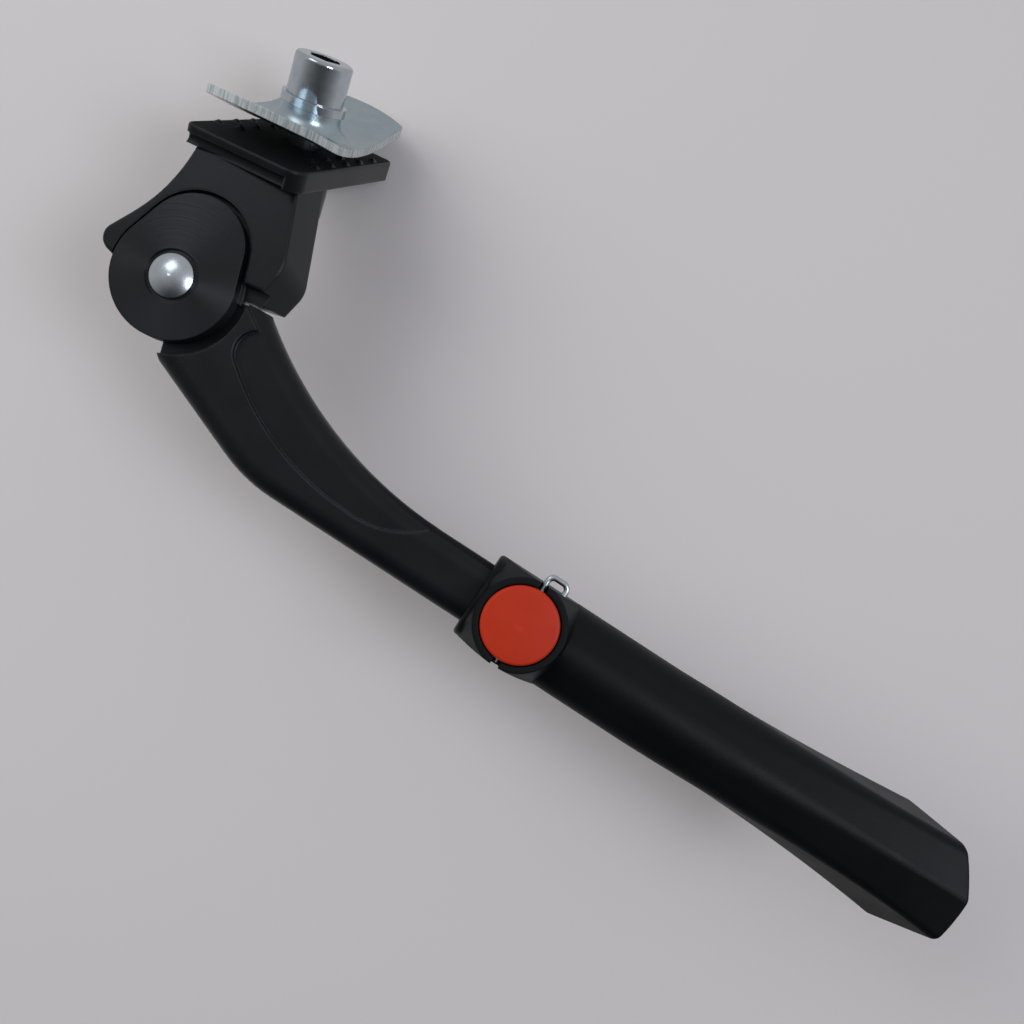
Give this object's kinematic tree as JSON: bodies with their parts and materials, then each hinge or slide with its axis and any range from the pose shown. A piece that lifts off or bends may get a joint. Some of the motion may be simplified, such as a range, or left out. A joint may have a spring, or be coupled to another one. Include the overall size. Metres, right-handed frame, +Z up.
{
  "type": "bicycle kickstand",
  "caption": "Clamp-on side kickstand for a bicycle: frame bracket with bolted clamp plate, hinged cast leg, and a plastic foot that slides on the leg's bar and locks with a push button.",
  "frame": {"origin": "where the clamp bolt's axis meets the top face of the frame plate", "axes": "+Z up along the clamp bolt, +X to the bicycle's rear, -Y to its outer side where the leg is; the leg is folded"},
  "size_m": [0.2778, 0.0893, 0.1441],
  "materials": {
    "cast_black": "satin black paint on die-cast aluminium",
    "plastic_black": "matte, finely grained",
    "plastic_red": "satin orange-red",
    "zinc_plate": "blue zinc plating on pressed sheet",
    "zinc_bright": "bright zinc plating",
    "spring_steel": "bare spring steel"
  },
  "bodies": {
    "frame": {"bracket": "cast_black", "pivot_cover": "cast_black", "pivot_rivet": "zinc_bright", "rivet_washer": "zinc_bright", "cam_plunger": "spring_steel", "plunger_spring": "spring_steel"},
    "leg": {"leg_arm": "cast_black"},
    "foot": {"foot_sleeve": "plastic_black", "lock_plate": "spring_steel", "lock_clip": "zinc_bright"},
    "button": {"press_button": "plastic_red"},
    "clamp": {"clamp_plate": "zinc_plate", "spring_washer": "zinc_bright"},
    "bolt": {"clamp_bolt": "zinc_bright"}
  },
  "joints": [
    {"name": "leg_swing", "type": "hinge", "parent": "frame", "child": "leg", "pos_m": [-0.0044, -0.0418, -0.0357], "axis": [-0.1307, 0.8853, -0.4462], "range_deg": [0, 96]},
    {"name": "foot_slide", "type": "slide", "parent": "leg", "child": "foot", "axis": [0.9856, 0.0672, -0.1554], "range_m": [0, 0.06]},
    {"name": "button_press", "type": "slide", "parent": "foot", "child": "button", "axis": [-0.1307, 0.8853, -0.4462], "range_m": [0, 0.002], "stiffness_N_per_m": 1500, "springref_m": -0.001},
    {"name": "clamp_lift", "type": "slide", "parent": "frame", "child": "clamp", "axis": [0, 0, 1], "range_m": [0, 0.012]},
    {"name": "bolt_turn", "type": "hinge", "parent": "clamp", "child": "bolt", "pos_m": [0, 0, 0], "axis": [0, 0, 1], "range_deg": [0, 2880]}
  ],
  "couplings": [
    {"joint": "bolt_turn", "follows": "clamp_lift", "rad_per_m": 4188.8}
  ]
}
